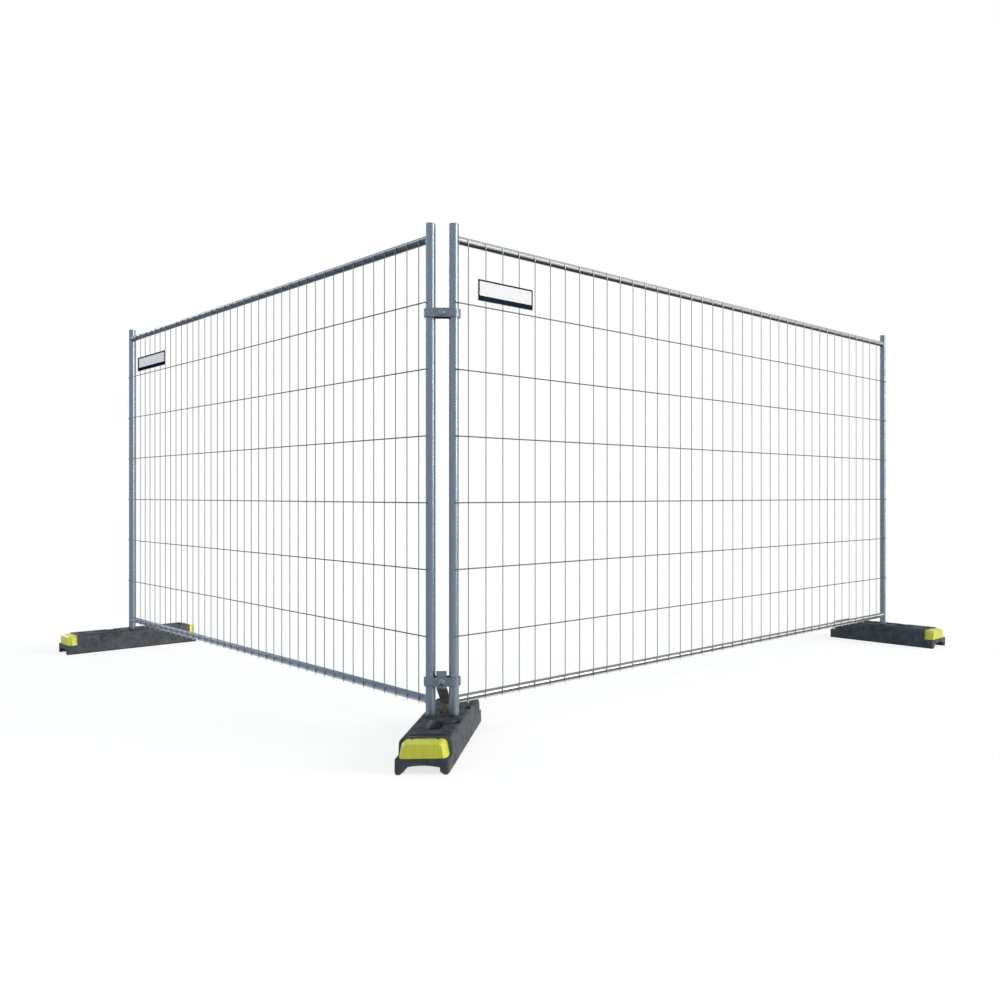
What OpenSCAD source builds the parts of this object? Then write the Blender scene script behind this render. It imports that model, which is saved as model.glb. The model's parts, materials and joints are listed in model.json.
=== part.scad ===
// Temporary fence corner: two welded mesh panels that stand in moulded block feet
// and are clamped together at their corner posts.
// Z is up, the floor is at zero and the corner points towards -Y.

/* [Panel] */
// Length of one panel over the outsides of its posts
panel_l = 3472; // [2200:1:4000]
// Length of the upright posts
post_l = 1991; // [1500:1:2400]
// Outside diameter of the posts
post_d = 38; // [32:0.5:44]
// Wall of the posts
post_wall = 2; // [1:0.1:4]
// Outside diameter of the rails
rail_d = 32; // [24:0.5:36]
// Wall of the rails
rail_wall = 1.5; // [1:0.1:3]
// Height of the bottom rail's axis above the foot of the posts
bottom_rail_rise = 134; // [110:1:220]
// Depth of the top rail's axis below the top of the posts
top_rail_drop = 57; // [30:1:150]
// Angle between the two panels, in degrees
corner_angle = 88.5; // [60:0.5:150]

/* [Mesh] */
// Diameter of the upright wires
upright_wire_d = 3.5; // [2:0.1:5]
// Diameter of the cross wires
cross_wire_d = 5; // [2:0.1:6]
// Number of upright wires in a panel
upright_wire_count = 39; // [10:1:60]
// Number of cross wires in a panel
cross_wire_count = 6; // [3:1:12]
// Distance from the corner post's axis to the first upright wire
corner_gap = 56; // [40:1:120]
// Distance from the last upright wire to the end post's axis
end_gap = 123; // [40:1:160]
// Distance from each rail's axis to the nearest cross wire
cross_wire_margin = 250; // [160:1:320]
// Length of an upright wire beyond the bottom rail's axis
wire_tail = 19; // [8:1:28]
// Length of an upright wire beyond the top rail's axis
wire_head = 10; // [4:1:28]
// Length of a cross wire beyond a post's axis
cross_wire_lap = 6; // [2:0.5:14]

/* [Foot] */
// Length of a foot
foot_l = 750; // [620:1:900]
// Width of a foot at the floor
foot_w = 194; // [180:1:260]
// Height of a foot
foot_h = 116; // [110:1:150]
// Width of a foot at its shoulders
shoulder_w = 188; // [170:1:194]
// Width of the flat top of a foot
top_w = 148; // [132:1:160]
// Height of the rounded shoulders
shoulder_h = 22; // [8:1:30]
// Length of the ledge under a foot's front cap
front_ledge_l = 60; // [45:1:80]
// Length of the ledge under a foot's rear cap
rear_ledge_l = 42; // [28:1:60]
// Height of the ledge under each end cap
ledge_h = 55; // [42:1:62]
// Distance between the axes of a foot's two post sockets
post_spacing = 90; // [84:1:110]
// Depth of the post sockets
socket_depth = 70; // [50:1:76]
// Gap between a post and its socket, on the radius
socket_clearance = 0.5; // [0.2:0.1:2]
// Width of the channel under a foot, at the floor
channel_w = 156; // [130:1:166]
// Width of the channel between its upright walls
channel_roof_w = 126; // [100:1:134]
// Height of the flare at the foot of the channel's walls
channel_flare_h = 11; // [4:1:14]
// Height of the channel at the edges of its roof
channel_h = 25; // [18:1:34]
// Rise of the arched roof above its edges
channel_rise = 7; // [2:0.5:9]
// Width of the hand holes
hand_hole_w = 54; // [44:1:70]
// Length of the hand holes
hand_hole_l = 142; // [90:1:160]
// Distance from the middle of the foot to the middle of a hand hole
hand_hole_offset = 125; // [110:1:140]

/* [End caps] */
// Distance from the front of the ledge to the face of an end cap
cap_setback = 5; // [2:0.5:10]
// Width of an end cap at the ledge
cap_w = 172; // [150:1:180]
// Width of an end cap at its top
cap_top_w = 156; // [130:1:160]
// Width of the slopes at the sides of an end cap
cap_bevel = 11; // [6:1:22]
// Fall of the slope at the top of an end cap
cap_top_bevel = 7; // [6:1:20]
// Length of the slopes along the foot
cap_slope_l = 22; // [8:1:24]
// Wall of an end cap
cap_wall = 4; // [2:0.5:6]

/* [Coupler] */
// Height of the coupler plates
clamp_h = 35; // [28:1:50]
// Thickness of the coupler plates
clamp_t = 5; // [3:0.5:8]
// Gap between the two coupler plates
clamp_split = 3; // [1:0.5:8]
// Gap between a coupler plate and the posts
clamp_clearance = 0.3; // [0.1:0.1:1]
// Diameter of the coupler bolts
bolt_d = 12; // [8:1:14]
// Travel of the rear coupler plate when its nut is slackened
clamp_travel = 10.5; // [6:0.5:16]
// Space between the uppermost cross wire and the top coupler
top_clamp_gap = 20; // [6:1:60]
// Space between the bottom rail and the bottom coupler
bottom_clamp_gap = 40; // [30:1:120]

/* [Lifting lock] */
// Width of the strap that locks the posts to the corner foot
strap_w = 40; // [24:1:44]
// Thickness of the strap
strap_t = 5; // [3:0.5:7]
// Length of the strap above the bottom coupler
strap_head = 25; // [10:1:60]
// Width of the crossbar at the strap's foot
crossbar_w = 96; // [74:1:104]

/* [Signs] */
// Height of the sign plates
sign_h = 86; // [60:1:140]
// Thickness of the sign plates
sign_t = 3; // [1.5:0.5:5]
// Width of the left panel's sign plate
left_sign_w = 480; // [200:1:600]
// Width of the right panel's sign plate
right_sign_w = 282; // [200:1:600]
// Distance from the left panel's end post to its sign plate
left_sign_inset = 176; // [60:1:400]
// Distance from the right panel's corner post to its sign plate
right_sign_inset = 100; // [60:1:400]
// Space between the uppermost cross wire and a sign plate
sign_gap = 21; // [6:1:60]

/* [Hidden] */
$fn = 48;
LEFT = -1;
RIGHT = 1;
FRONT = -1;
REAR = 1;
overrun = 1;
hull_skin = 0.02;
weld_gap = 0.1;
seat_gap = 0.3;
running_gap = 0.1;

steel_colour = [0.62, 0.66, 0.70];
wire_colour = [0.55, 0.57, 0.59];
block_colour = [0.20, 0.20, 0.22];
cap_colour = [0.80, 0.84, 0.12];
plug_colour = [0.16, 0.18, 0.20];
sign_colour = [0.95, 0.95, 0.94];
strap_colour = [0.25, 0.24, 0.18];

// Panel
post_r = post_d / 2;
rail_r = rail_d / 2;
half_angle = corner_angle / 2;
span = panel_l - post_d;
post_floor = foot_h - socket_depth + seat_gap;
post_top = post_floor + post_l;
bottom_rail_z = post_floor + bottom_rail_rise;
top_rail_z = post_top - top_rail_drop;
plug_lip = 2;
plug_chamfer = 1;
plug_l = 16;
plug_fit = 0.1;

// Mesh
wire_pitch = (span - corner_gap - end_gap) / (upright_wire_count - 1);
upright_wire_y = -(rail_r + weld_gap + upright_wire_d / 2);
mesh_face = max(post_r, rail_r + weld_gap + upright_wire_d);
cross_wire_y = -(mesh_face + weld_gap + cross_wire_d / 2);
top_wire_z = top_rail_z - cross_wire_margin;
bottom_wire_z = bottom_rail_z + cross_wire_margin;
cross_pitch = (top_wire_z - bottom_wire_z) / (cross_wire_count - 1);
sign_y = -(rail_r + 2 * weld_gap + upright_wire_d + sign_t);
sign_z = top_wire_z + cross_wire_d / 2 + sign_gap;
sign_corner_r = 6;

// Foot
foot_corner_r = 10;
foot_edge = 8;
arc_steps = 6;
socket_r = post_r + socket_clearance;
socket_mouth = 2;
hand_hole_r = 18;
groove_l = 132;
groove_w = 24;
groove_depth = 4;
groove_inset = 39;
hand_hole_mouth = 7;
dimple_w = 28;
dimple_l = 56;
dimple_depth = 6;
dimple_inset = 3;
dimple_places_shares = [-0.247, 0.401];
drain_d = 16;
drain_depth = 12;
drain_inset = 8;
drain_place_share = 0.064;

// End caps
cap_drop = 4;
cap_corner_r = 18;
cap_front_corner_r = 12;
cap_fit = 0.3;
lug_x = 46;
lug_w = 9;
lug_l = 12;
lug_drop = 2;

// Coupler
clamp_inner = post_r + clamp_clearance;
clamp_outer = clamp_inner + clamp_t;
clamp_lip = 1.5;
clamp_lip_t = 3;
bolt_hole_play = 1;
bolt_hole_d = bolt_d + bolt_hole_play;
head_d_share = 2.25;
head_h_share = 0.6;
nut_w_share = 1.5;
nut_h_share = 0.85;
washer_d_share = 2;
bolt_head_d = head_d_share * bolt_d;
bolt_head_h = head_h_share * bolt_d;
bolt_head_rim = 1.5;
neck_fit = 0.2;
nut_w = nut_w_share * bolt_d;
nut_h = nut_h_share * bolt_d;
washer_d = washer_d_share * bolt_d;
washer_t = 2.5;
bolt_end = 3;
bolt_l = 2 * clamp_outer + washer_t + running_gap + nut_h + clamp_travel + bolt_end;
top_clamp_z = top_wire_z - cross_wire_d / 2 - top_clamp_gap - clamp_h / 2;
bottom_clamp_z = bottom_rail_z + rail_r + bottom_clamp_gap + clamp_h / 2;

// Lifting lock
strap_y = -clamp_inner + strap_t / 2;
strap_bend_drop = 5;
strap_leg_inset = 41;
strap_leg_y = hand_hole_offset - hand_hole_l / 2 + strap_leg_inset;
strap_leg_rise = 30;
crossbar_h = 14;
crossbar_gap = 0.3;

// Place of the corner, so that the origin lies under the middle of the whole fence
foot_reach = cos(half_angle) * (span + post_spacing / 2 + foot_w / 2 - foot_corner_r)
           + sin(half_angle) * (foot_l / 2 - foot_corner_r) + foot_corner_r;
corner_y = -(foot_reach - foot_l / 2) / 2;

// Points of a rectangle with round corners, centred on zero
function round_rect(w, l, r) = [
    for (q = [0:3], k = [0:arc_steps])
        let (a = 90 * (q + k / arc_steps), sx = (q == 0 || q == 3) ? 1 : -1, sy = q < 2 ? 1 : -1)
            [sx * (w / 2 - r) + r * cos(a), sy * (l / 2 - r) + r * sin(a)]
];

// Right half of a foot's cross-section above its lower edge, from the shoulder to the flat top
function shoulder_arc() = [
    for (k = [0:arc_steps])
        let (a = 90 * k / arc_steps)
            [top_w / 2 + (shoulder_w - top_w) / 2 * cos(a), foot_h - shoulder_h * (1 - sin(a))]
];

// Distance from the middle of a foot to one end of its upper block
function block_reach(end) = foot_l / 2 - (end == FRONT ? front_ledge_l : rear_ledge_l);

// Height of the channel's arched roof at a distance from its middle
function channel_roof_z(x) = channel_h + channel_rise * (1 - pow(2 * x / channel_roof_w, 2));

// Arched roof of the channel, from right to left
function channel_roof() = [
    for (k = [-arc_steps:arc_steps])
        let (x = -k / arc_steps * channel_roof_w / 2) [x, channel_roof_z(x)]
];

function mirrored(points) = [for (k = [len(points) - 1:-1:0]) [-points[k].x, points[k].y]];

// Unit normal of the path's leg that starts at point k, to its left
function leg_normal(path, k) =
    let (d = path[k + 1] - path[k]) [-d.y, d.x] / norm(d);

// Offset of the path's point k by a distance to its left, mitred at the bends
function mitred(path, k, off) =
    k == 0 ? path[0] + off * leg_normal(path, 0)
    : k == len(path) - 1 ? path[k] + off * leg_normal(path, k - 1)
    : let (a = leg_normal(path, k - 1), b = leg_normal(path, k)) path[k] + off * (a + b) / (1 + a * b);

// Outline of a bent strip of the given thickness along a path
function strip(path, t) = concat(
    [for (k = [0:len(path) - 1]) mitred(path, k, t / 2)],
    [for (k = [len(path) - 1:-1:0]) mitred(path, k, -t / 2)]
);

// Extrudes an outline in X and Z along Y, centred
module along_y(l) {
    rotate([90, 0, 0]) linear_extrude(l, center = true) children();
}

// Places a panel's own frame: X along the panel from the corner post's axis, -Y outwards
module on_panel(side) {
    mirror([side == LEFT ? 1 : 0, 0, 0])
        translate([post_spacing / 2, corner_y, 0]) rotate(90 - half_angle) children();
}

module at_corner() {
    translate([0, corner_y, 0]) children();
}

module at_end_foot(side) {
    on_panel(side) translate([span + post_spacing / 2, 0, 0]) children();
}

// Foot block and its end caps
module foot_section() {
    right_half = concat([[foot_w / 2 - foot_edge, 0], [foot_w / 2, foot_edge]], shoulder_arc());
    polygon(concat(right_half, mirrored(right_half)));
}

module channel_section() {
    right_foot = [[channel_w / 2, -overrun], [channel_w / 2, 0], [channel_roof_w / 2, channel_flare_h]];
    polygon(concat(right_foot, channel_roof(), mirrored(right_foot)));
}

// Cross-section of a cap at one place along the foot, its outline drawn in by an edge width
module cap_section(inset, y, side_edge, top_edge, corner_r) {
    floor_z = ledge_h + inset;
    roof_z = foot_h - cap_drop - inset - top_edge;
    for (side = [LEFT, RIGHT]) {
        translate([side * (cap_w / 2 - inset - side_edge) - hull_skin / 2, y - hull_skin, floor_z])
            cube(hull_skin);
        translate([side * (cap_top_w / 2 - inset - side_edge - corner_r), y, roof_z - corner_r])
            rotate([90, 0, 0]) cylinder(r = corner_r, h = hull_skin, $fn = 32);
    }
}

// Cap form for one end of the block, turned to the front, with slopes round its face, shrunk by an inset
module cap_form(end, inset, back) {
    front_y = -foot_l / 2 + cap_setback + inset;
    hull() {
        cap_section(inset, back - block_reach(end), 0, 0, cap_corner_r);
        cap_section(inset, min(front_y + cap_slope_l, -block_reach(end)), 0, 0, cap_corner_r);
        cap_section(inset, front_y + hull_skin, cap_bevel, cap_top_bevel, cap_front_corner_r);
    }
}

// Lugs that stand in the notches of a cap's upper edge, grown by a clearance and raised
module cap_lugs(end, grow, rise) {
    lug_h = cap_wall + cap_top_bevel - lug_drop;
    for (side = [LEFT, RIGHT])
        translate([side * lug_x - lug_w / 2 - grow, -block_reach(end) - lug_l - grow,
                   foot_h - cap_drop - lug_drop - lug_h])
            cube([lug_w + 2 * grow, lug_l + 2 * grow, lug_h + rise]);
}

// A hand hole right through the block, widened at its mouth
module hand_hole() {
    linear_extrude(foot_h) polygon(round_rect(hand_hole_w, hand_hole_l, hand_hole_r));
    hull() {
        translate([0, 0, foot_h - hand_hole_mouth])
            linear_extrude(hull_skin) polygon(round_rect(hand_hole_w, hand_hole_l, hand_hole_r));
        translate([0, 0, foot_h])
            linear_extrude(overrun)
                polygon(round_rect(hand_hole_w + 2 * hand_hole_mouth, hand_hole_l + 2 * hand_hole_mouth,
                                   hand_hole_r + hand_hole_mouth));
    }
}

module facing(end) {
    rotate(end == FRONT ? 0 : 180) children();
}

module foot_block() {
    color(block_colour) difference() {
        union() {
            intersection() {
                along_y(foot_l) foot_section();
                union() {
                    linear_extrude(ledge_h) polygon(round_rect(foot_w, foot_l, foot_corner_r));
                    translate([-foot_w / 2, -block_reach(FRONT), 0])
                        cube([foot_w, block_reach(FRONT) + block_reach(REAR), foot_h]);
                }
            }
            for (end = [FRONT, REAR]) facing(end) {
                cap_form(end, cap_wall + cap_fit, overrun);
                cap_lugs(end, 0, 0);
            }
        }
        along_y(foot_l + 2 * overrun) channel_section();
        for (end = [FRONT, REAR]) {
            translate([0, end * hand_hole_offset, 0]) hand_hole();
            translate([0, end * (block_reach(end) - groove_inset), foot_h - groove_depth])
                linear_extrude(groove_depth + overrun) square([groove_l, groove_w], center = true);
        }
        for (side = [LEFT, RIGHT]) translate([side * post_spacing / 2, 0, 0]) {
            translate([0, 0, foot_h - socket_depth]) cylinder(r = socket_r, h = socket_depth + overrun);
            translate([0, 0, foot_h - socket_mouth])
                cylinder(r1 = socket_r, r2 = socket_r + socket_mouth, h = socket_mouth);
        }
        for (share = dimple_places_shares)
            translate([top_w / 2 - dimple_inset, share * foot_l / 2, foot_h - dimple_depth])
                linear_extrude(dimple_depth + overrun) polygon(round_rect(dimple_w, dimple_l, dimple_w / 2));
        translate([top_w / 2 - drain_inset, drain_place_share * foot_l / 2, foot_h - drain_depth])
            cylinder(d = drain_d, h = drain_depth + overrun);
    }
}

module foot_cap(end) {
    color(cap_colour) facing(end) difference() {
        cap_form(end, 0, 0);
        cap_form(end, cap_wall, overrun);
        cap_lugs(end, cap_fit, lug_drop + overrun);
    }
}

module corner_foot_block() { at_corner() foot_block(); }
module corner_foot_front_cap() { at_corner() foot_cap(FRONT); }
module corner_foot_rear_cap() { at_corner() foot_cap(REAR); }
module left_foot_block() { at_end_foot(LEFT) foot_block(); }
module left_foot_outer_cap() { at_end_foot(LEFT) foot_cap(FRONT); }
module left_foot_inner_cap() { at_end_foot(LEFT) foot_cap(REAR); }
module right_foot_block() { at_end_foot(RIGHT) foot_block(); }
module right_foot_outer_cap() { at_end_foot(RIGHT) foot_cap(FRONT); }
module right_foot_inner_cap() { at_end_foot(RIGHT) foot_cap(REAR); }

// Panel pieces
module post(x) {
    color(steel_colour) translate([x, 0, post_floor]) difference() {
        cylinder(r = post_r, h = post_l);
        translate([0, 0, -overrun]) cylinder(r = post_r - post_wall, h = post_l + 2 * overrun);
    }
}

module post_plug(x) {
    bore_r = post_r - post_wall - plug_fit;
    color(plug_colour) translate([x, 0, post_top]) rotate_extrude()
        polygon([
            [0, -plug_l], [bore_r - plug_chamfer, -plug_l], [bore_r, plug_chamfer - plug_l], [bore_r, 0],
            [post_r, 0], [post_r, plug_lip - plug_chamfer], [post_r - plug_chamfer, plug_lip], [0, plug_lip]
        ]);
}

// A tube between the posts, coped to their round faces
module rail(z) {
    color(steel_colour) difference() {
        translate([0, 0, z]) rotate([0, 90, 0]) cylinder(r = rail_r, h = span);
        translate([-overrun, 0, z]) rotate([0, 90, 0])
            cylinder(r = rail_r - rail_wall, h = span + 2 * overrun);
        for (x = [0, span]) translate([x, 0, z - rail_d]) cylinder(r = post_r + weld_gap, h = 2 * rail_d);
    }
}

module upright_wires() {
    color(wire_colour) for (k = [0:upright_wire_count - 1])
        translate([corner_gap + k * wire_pitch, upright_wire_y, bottom_rail_z - wire_tail])
            cylinder(d = upright_wire_d, h = top_rail_z - bottom_rail_z + wire_tail + wire_head, $fn = 16);
}

module cross_wires() {
    color(wire_colour) for (k = [0:cross_wire_count - 1])
        translate([-cross_wire_lap, cross_wire_y, bottom_wire_z + k * cross_pitch])
            rotate([0, 90, 0]) cylinder(d = cross_wire_d, h = span + 2 * cross_wire_lap, $fn = 16);
}

module sign_plate(x, w) {
    color(sign_colour) translate([x + w / 2, sign_y + sign_t / 2, sign_z + sign_h / 2])
        along_y(sign_t) polygon(round_rect(w, sign_h, sign_corner_r));
}

module left_corner_post() { on_panel(LEFT) post(0); }
module left_end_post() { on_panel(LEFT) post(span); }
module left_corner_post_plug() { on_panel(LEFT) post_plug(0); }
module left_end_post_plug() { on_panel(LEFT) post_plug(span); }
module left_top_rail() { on_panel(LEFT) rail(top_rail_z); }
module left_bottom_rail() { on_panel(LEFT) rail(bottom_rail_z); }
module left_upright_wires() { on_panel(LEFT) upright_wires(); }
module left_cross_wires() { on_panel(LEFT) cross_wires(); }
module left_sign_plate() { on_panel(LEFT) sign_plate(span - left_sign_inset - left_sign_w, left_sign_w); }
module right_corner_post() { on_panel(RIGHT) post(0); }
module right_end_post() { on_panel(RIGHT) post(span); }
module right_corner_post_plug() { on_panel(RIGHT) post_plug(0); }
module right_end_post_plug() { on_panel(RIGHT) post_plug(span); }
module right_top_rail() { on_panel(RIGHT) rail(top_rail_z); }
module right_bottom_rail() { on_panel(RIGHT) rail(bottom_rail_z); }
module right_upright_wires() { on_panel(RIGHT) upright_wires(); }
module right_cross_wires() { on_panel(RIGHT) cross_wires(); }
module right_sign_plate() { on_panel(RIGHT) sign_plate(right_sign_inset, right_sign_w); }

// Coupler pieces
module clamp_loop(r, h) {
    for (side = [LEFT, RIGHT]) translate([side * post_spacing / 2, 0, -h / 2]) cylinder(r = r, h = h);
    translate([-post_spacing / 2, -r, -h / 2]) cube([post_spacing, 2 * r, h]);
}

// One plate of a coupler on the -Y side: flat across both posts, curled round them, with a lip at each end
module clamp_plate() {
    reach = post_spacing / 2 + clamp_outer + clamp_lip;
    color(steel_colour) difference() {
        intersection() {
            union() {
                clamp_loop(clamp_outer, clamp_h);
                translate([-reach, -clamp_split / 2 - clamp_lip_t, -clamp_h / 2])
                    cube([2 * reach, clamp_lip_t, clamp_h]);
            }
            translate([-reach, -clamp_outer, -clamp_h / 2])
                cube([2 * reach, clamp_outer - clamp_split / 2, clamp_h]);
        }
        clamp_loop(clamp_inner, clamp_h + 2 * overrun);
        children();
    }
}

module bolt_hole() {
    translate([0, -clamp_inner, 0]) rotate([90, 0, 0])
        translate([0, 0, -overrun]) cylinder(d = bolt_hole_d, h = clamp_t + 2 * overrun);
}

module neck_hole() {
    w = bolt_d + 2 * neck_fit;
    translate([-w / 2, -clamp_outer - overrun, -w / 2]) cube([w, clamp_t + 2 * overrun, w]);
}

// Domed bolt with a square neck, from its head at the front to its threaded end at the rear
module clamp_bolt() {
    color(steel_colour) translate([0, -clamp_outer, 0]) rotate([-90, 0, 0]) {
        cylinder(d = bolt_d, h = bolt_l);
        translate([-bolt_d / 2, -bolt_d / 2, 0]) cube([bolt_d, bolt_d, clamp_t]);
        rotate([180, 0, 0]) dome(bolt_head_d / 2, bolt_head_h);
    }
}

// A shallow dome: a short rim with a round crown
module dome(r, h) {
    crown = h - bolt_head_rim;
    ball_r = (r * r + crown * crown) / (2 * crown);
    intersection() {
        cylinder(r = r, h = h);
        translate([0, 0, h - ball_r]) sphere(r = ball_r);
    }
}

module clamp_washer() {
    color(steel_colour) translate([0, clamp_outer, 0]) rotate([-90, 0, 0]) difference() {
        cylinder(d = washer_d, h = washer_t);
        translate([0, 0, -overrun]) cylinder(d = bolt_hole_d, h = washer_t + 2 * overrun);
    }
}

module clamp_nut() {
    color(steel_colour) translate([0, clamp_outer + washer_t + running_gap, 0]) rotate([-90, 0, 0])
        difference() {
            cylinder(d = nut_w / cos(30), h = nut_h, $fn = 6);
            translate([0, 0, -overrun]) cylinder(d = bolt_d + 2 * running_gap, h = nut_h + 2 * overrun);
        }
}

module at_clamp(z) {
    translate([0, corner_y, z]) children();
}

module front_plate(z) { at_clamp(z) clamp_plate() neck_hole(); }
module rear_plate(z) { at_clamp(z) rotate(180) clamp_plate() bolt_hole(); }

module top_clamp_front() { front_plate(top_clamp_z); }
module top_clamp_rear() { rear_plate(top_clamp_z); }
module top_clamp_bolt() { at_clamp(top_clamp_z) clamp_bolt(); }
module top_clamp_washer() { at_clamp(top_clamp_z) clamp_washer(); }
module top_clamp_nut() { at_clamp(top_clamp_z) clamp_nut(); }
module bottom_clamp_front() { front_plate(bottom_clamp_z); }
module bottom_clamp_rear() { rear_plate(bottom_clamp_z); }
module bottom_clamp_bolt() { at_clamp(bottom_clamp_z) clamp_bolt(); }
module bottom_clamp_washer() { at_clamp(bottom_clamp_z) clamp_washer(); }
module bottom_clamp_nut() { at_clamp(bottom_clamp_z) clamp_nut(); }

// Strap behind the bottom coupler's front plate, bent back and down through the rear hand hole,
// with a crossbar that catches under the block
module anti_lift_strap() {
    head_z = bottom_clamp_z + clamp_h / 2 + strap_head;
    bend_z = bottom_clamp_z - clamp_h / 2 - strap_bend_drop;
    bar_z = channel_roof_z(crossbar_w / 2) - crossbar_gap - crossbar_h;
    path = [
        [strap_y, head_z], [strap_y, bend_z], [strap_leg_y, foot_h + strap_leg_rise], [strap_leg_y, bar_z]
    ];
    color(strap_colour) at_corner() {
        difference() {
            rotate([90, 0, 90]) linear_extrude(strap_w, center = true) polygon(strip(path, strap_t));
            translate([0, strap_y, bottom_clamp_z]) rotate([90, 0, 0])
                cylinder(d = bolt_hole_d, h = strap_t + 2 * overrun, center = true);
        }
        translate([-crossbar_w / 2, strap_leg_y - strap_t / 2, bar_z])
            cube([crossbar_w, strap_t, crossbar_h]);
    }
}

corner_foot_block();
corner_foot_front_cap();
corner_foot_rear_cap();
left_foot_block();
left_foot_outer_cap();
left_foot_inner_cap();
right_foot_block();
right_foot_outer_cap();
right_foot_inner_cap();
left_corner_post();
left_end_post();
left_corner_post_plug();
left_end_post_plug();
left_top_rail();
left_bottom_rail();
left_upright_wires();
left_cross_wires();
left_sign_plate();
right_corner_post();
right_end_post();
right_corner_post_plug();
right_end_post_plug();
right_top_rail();
right_bottom_rail();
right_upright_wires();
right_cross_wires();
right_sign_plate();
top_clamp_front();
top_clamp_rear();
top_clamp_bolt();
top_clamp_washer();
top_clamp_nut();
bottom_clamp_front();
bottom_clamp_rear();
bottom_clamp_bolt();
bottom_clamp_washer();
bottom_clamp_nut();
anti_lift_strap();
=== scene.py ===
import json
import math

import bmesh
import bpy
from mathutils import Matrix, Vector, noise


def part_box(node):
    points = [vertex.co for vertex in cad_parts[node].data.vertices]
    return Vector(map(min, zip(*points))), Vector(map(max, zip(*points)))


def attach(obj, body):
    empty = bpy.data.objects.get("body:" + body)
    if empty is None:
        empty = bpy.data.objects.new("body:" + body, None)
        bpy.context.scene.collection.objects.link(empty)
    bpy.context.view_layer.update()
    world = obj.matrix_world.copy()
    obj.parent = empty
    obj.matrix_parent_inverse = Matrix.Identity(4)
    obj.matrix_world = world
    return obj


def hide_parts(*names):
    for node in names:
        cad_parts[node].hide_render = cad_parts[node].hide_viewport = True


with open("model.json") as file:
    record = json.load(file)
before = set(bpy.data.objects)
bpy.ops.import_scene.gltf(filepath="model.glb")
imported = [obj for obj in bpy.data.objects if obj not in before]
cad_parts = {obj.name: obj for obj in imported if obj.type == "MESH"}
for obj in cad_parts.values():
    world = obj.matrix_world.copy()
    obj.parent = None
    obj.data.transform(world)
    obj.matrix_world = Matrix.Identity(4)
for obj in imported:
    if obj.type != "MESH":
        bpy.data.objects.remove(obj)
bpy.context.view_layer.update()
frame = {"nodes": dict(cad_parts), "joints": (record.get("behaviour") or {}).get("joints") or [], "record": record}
NODES = frame["nodes"]
JOINTS = {joint["name"]: joint for joint in frame["joints"]}

# Sides of the fence, as signs along X
SIDES = {"left": -1, "right": 1}
LEVELS = ("top", "bottom")
# Each foot with the names of its two ends
FEET = {
    "corner_foot": ("front", "rear"),
    "left_foot": ("outer", "inner"),
    "right_foot": ("outer", "inner"),
}

# Sizes in metres
POST_R = 0.019
RAIL_R = 0.016
FOOT_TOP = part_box("corner_foot_block")[1].z

# Signs: widths of the upright and level borders, and the share of the plate that the band takes
SIGN_BORDERS = {"left": (0.021, 0.0085), "right": (0.0065, 0.0065)}
SIGN_BORDER_INSET = 0.0006
SIGN_BAND_SHARE = 0.25
INK_T = 0.0003

# Cable ties: the strip, its loop round plate and wire, its head, and how far it stays from the plate's edges
TIE_HALF_W = 0.0013
TIE_T = 0.0010
TIE_REACH = 0.0034
TIE_CORNER_R = 0.0014
TIE_HEAD_SPAN = (-0.002, 0.003)
TIE_HEAD_HALF_H = 0.0024
TIE_HEAD_DEPTH = (-0.0022, 0.0016)
TIE_SIDE_MARGIN = 0.01
TIE_BAND_MARGIN = 0.012
TIE_TOP_MARGIN = 0.018

# Welds: half-axes of the nuggets along the panel, outwards and up, and the rippled bead round a rail's end
CROSSING_NUGGET = (0.0024, 0.0013, 0.0027)
RAIL_NUGGET = (0.0020, 0.0010, 0.0052)
POST_NUGGET = (0.0058, 0.0018, 0.0034)
NUGGET_SEGMENTS, NUGGET_RINGS = 8, 5
BEAD_R = 0.0028
BEAD_RIPPLES, BEAD_RIPPLE, BEAD_WANDER, BEAD_WANDER_SCALE = 22, 0.16, 0.10, 300

# Coupler bolts and nuts
SHANK_R = 0.006
SHANK_FIT = 0.995
NECK_L = 0.005
HEAD_RIM = 0.0016
HEAD_RIM_EASE = 0.0006
HEAD_SEAT_SHARE = 0.97
DOME_TIP_R = 0.0004
DOME_STEPS = 10
THREAD_PITCH = 0.00175
THREAD_DEPTH = 0.0010
THREAD_LEAD = 0.012
THREAD_TAPER = 0.0016
NUT_BORE_R = 0.0061
NUT_SINK = 0.0009
NUT_FACE_SHARE = 0.97
NUT_CHAMFER_DEG = 30

# Widths of eased edges
BLOCK_EDGE = 0.0030
CAP_EDGE = 0.0035
PRESSED_EDGE = 0.0008
WASHER_EDGE = 0.0003
SIGN_EDGE = 0.0005

# Bars of one group lie further apart than this, and a rail is a single bar at any such distance
BARS_APART = 0.01
ONE_BAR_APART = 1.0
# Places of the parts of a panel's own (u, n, z)
U, Z = 0, 2

# Lamps: the way each lies, strength, spread in degrees and colour
LAMPS = {
    "key": ((0.95, -0.20, 0.22), 3.15, 34, (1.0, 0.940, 0.83)),
    "top": ((0.05, -0.60, 0.80), 0.35, 24, (0.97, 0.99, 1.0)),
    "fill": ((-0.80, -0.50, 0.30), 0.6, 80, (0.82, 0.92, 1.0)),
    "rim": ((-0.67, 0.69, 0.27), 0.35, 16, (0.95, 0.98, 1.0)),
}
SKY_COLOR = (0.69, 0.86, 1.0, 1)
SKY_STRENGTH = 0.44
WHITE = (1, 1, 1, 1)

# Floor: its plain grey for light on the object, and the pale look that the camera and reflections see
FLOOR_SIZE = 120
FLOOR_DROP = 0.0005
FLOOR_GREY = (0.3, 0.3, 0.3, 1)
FLOOR_SEEN_GREY = (0.34, 0.34, 0.34, 1)
FLOOR_GLOW = (1.0, 0.985, 0.97, 1)
FLOOR_GLOW_STRENGTH = 0.765

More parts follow.
